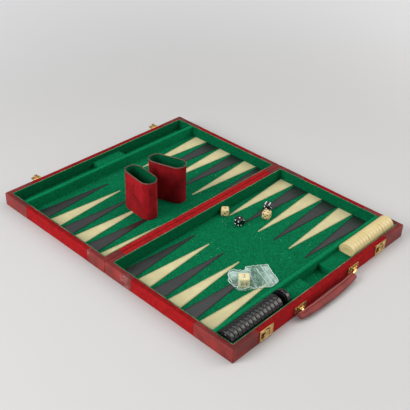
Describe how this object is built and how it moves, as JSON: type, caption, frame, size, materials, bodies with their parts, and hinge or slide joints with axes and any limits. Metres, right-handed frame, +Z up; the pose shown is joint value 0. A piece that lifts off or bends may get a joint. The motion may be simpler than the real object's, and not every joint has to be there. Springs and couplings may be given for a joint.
{
  "type": "backgammon board",
  "caption": "Folding travel backgammon case lying open, with a felt playing field, stitched points, side compartments for checkers, dice cups, dice, locks and a handle.",
  "frame": {"origin": "under the middle of the open case, hasps and handle included, on the plane that it lies on", "axes": "+X across the fold towards the handle, +Y along the fold, +Z up out of the open case"},
  "size_m": [0.614, 0.457, 0.0839],
  "materials": {
    "plywood": "bare plywood, hidden under the coverings",
    "hardboard": "smooth hardboard, hidden under felt and velvet",
    "velvet": "deep red velvet pile",
    "leatherette": "burgundy grained leatherette, satin",
    "felt": "green felt",
    "felted_wood": "wood wrapped in green felt",
    "cream_vinyl": "cream vinyl with a stitched edge",
    "charcoal_vinyl": "charcoal vinyl with a stitched edge",
    "brass": "thin polished brass plating, a little worn",
    "steel": "plain steel",
    "suede": "red suede over board",
    "cup_felt": "green felt",
    "cream_plastic": "polished cream resin",
    "black_plastic": "polished black resin",
    "ivory_plastic": "ivory resin",
    "clear_film": "clear zip bag film"
  },
  "bodies": {
    "base": {"base_boards": "plywood", "base_panel": "hardboard", "base_underside_velvet": "velvet", "base_underside_corners": "leatherette", "base_side_velvet": "velvet", "base_corner_leather": "leatherette", "base_felt_floor": "felt", "base_felt_lining": "felt", "base_rail": "felted_wood", "base_tray_steps": "felted_wood", "base_light_points": "cream_vinyl", "base_dark_points": "charcoal_vinyl", "hinge_cloth": "velvet", "handle_brackets": "brass", "base_rivets": "brass", "latch_plates": "brass", "latch_cases": "steel", "latch_springs": "steel"},
    "lid": {"lid_boards": "plywood", "lid_panel": "hardboard", "lid_underside_velvet": "velvet", "lid_underside_corners": "leatherette", "lid_side_velvet": "velvet", "lid_corner_leather": "leatherette", "lid_felt_floor": "felt", "lid_felt_lining": "felt", "lid_rail": "felted_wood", "lid_tray_block": "felted_wood", "lid_light_points": "cream_vinyl", "lid_dark_points": "charcoal_vinyl", "hasp_plates": "brass", "hasp_pins": "steel", "lid_rivets": "brass"},
    "handle": {"handle_grip": "leatherette", "handle_core": "steel", "handle_loops": "brass"},
    "latch_slider_left": {"latch_slider_left": "brass"},
    "latch_slider_right": {"latch_slider_right": "brass"},
    "hasp_left": {"hasp_left": "brass"},
    "hasp_right": {"hasp_right": "brass"},
    "cup_front": {"cup_front_shell": "suede", "cup_front_lining": "cup_felt", "cup_front_base": "suede"},
    "cup_back": {"cup_back_shell": "suede", "cup_back_lining": "cup_felt", "cup_back_base": "suede"},
    "die_cream_left": {"die_cream_left": "cream_plastic"},
    "die_black_front": {"die_black_front": "black_plastic"},
    "die_cream_right": {"die_cream_right": "cream_plastic"},
    "die_black_back": {"die_black_back": "black_plastic"},
    "doubling_cube": {"doubling_cube": "ivory_plastic", "cube_bag": "clear_film"},
    "cream_checkers": {"cream_checkers": "cream_plastic"},
    "black_checkers": {"black_checkers": "black_plastic"},
    "loose_checker": {"loose_checker": "black_plastic"}
  },
  "joints": [
    {"name": "lid_fold", "type": "hinge", "parent": "base", "child": "lid", "pos_m": [-0.00484, 0, 0.0262], "axis": [0, 1, 0], "range_deg": [0, 180], "deforming": ["hinge_cloth"]},
    {"name": "handle_swing", "type": "hinge", "parent": "base", "child": "handle", "pos_m": [0.28836, 0, 0.014], "axis": [0, -1, 0], "range_deg": [0, 90]},
    {"name": "latch_slide_left", "type": "slide", "parent": "base", "child": "latch_slider_left", "axis": [0, 1, 0], "range_m": [-0.004, 0], "stiffness_N_per_m": 80, "springref_m": 0.002, "deforming": ["latch_springs"]},
    {"name": "hasp_swing_left", "type": "hinge", "parent": "lid", "child": "hasp_left", "pos_m": [-0.29704, -0.154, 0.0238], "axis": [0, 1, 0], "range_deg": [0, 90]},
    {"name": "latch_slide_right", "type": "slide", "parent": "base", "child": "latch_slider_right", "axis": [0, 1, 0], "range_m": [-0.004, 0], "stiffness_N_per_m": 80, "springref_m": 0.002, "deforming": ["latch_springs"]},
    {"name": "hasp_swing_right", "type": "hinge", "parent": "lid", "child": "hasp_right", "pos_m": [-0.29704, 0.154, 0.0238], "axis": [0, 1, 0], "range_deg": [0, 90]},
    {"name": "cup_front_swing", "type": "hinge", "parent": "lid", "child": "cup_front", "pos_m": [-0.23484, 0, 0.02815], "axis": [0, 1, 0], "range_deg": [-180, 0]},
    {"name": "cup_back_swing", "type": "hinge", "parent": "lid", "child": "cup_back", "pos_m": [-0.23484, 0, 0.0279], "axis": [0, 1, 0], "range_deg": [-180, 0]},
    {"name": "die_cream_left_lift", "type": "slide", "parent": "base", "child": "die_cream_left", "axis": [0, 0, -1], "range_m": [-0.06, 0]},
    {"name": "die_black_front_lift", "type": "slide", "parent": "base", "child": "die_black_front", "axis": [0, 0, -1], "range_m": [-0.06, 0]},
    {"name": "die_cream_right_lift", "type": "slide", "parent": "base", "child": "die_cream_right", "axis": [0, 0, -1], "range_m": [-0.06, 0]},
    {"name": "die_black_back_lift", "type": "slide", "parent": "base", "child": "die_black_back", "axis": [0, 0, -1], "range_m": [-0.06, 0]},
    {"name": "doubling_cube_lift", "type": "slide", "parent": "base", "child": "doubling_cube", "axis": [0, 0, -1], "range_m": [-0.06, 0]},
    {"name": "cream_checkers_lift", "type": "slide", "parent": "base", "child": "cream_checkers", "axis": [0, 0, -1], "range_m": [-0.06, 0]},
    {"name": "black_checkers_lift", "type": "slide", "parent": "base", "child": "black_checkers", "axis": [0, 0, -1], "range_m": [-0.06, 0]},
    {"name": "loose_checker_lift", "type": "slide", "parent": "base", "child": "loose_checker", "axis": [0, 0, -1], "range_m": [-0.06, 0]}
  ],
  "couplings": [
    {"joint": "cup_front_swing", "follows": "lid_fold", "ratio": -1},
    {"joint": "cup_back_swing", "follows": "lid_fold", "ratio": -1}
  ]
}
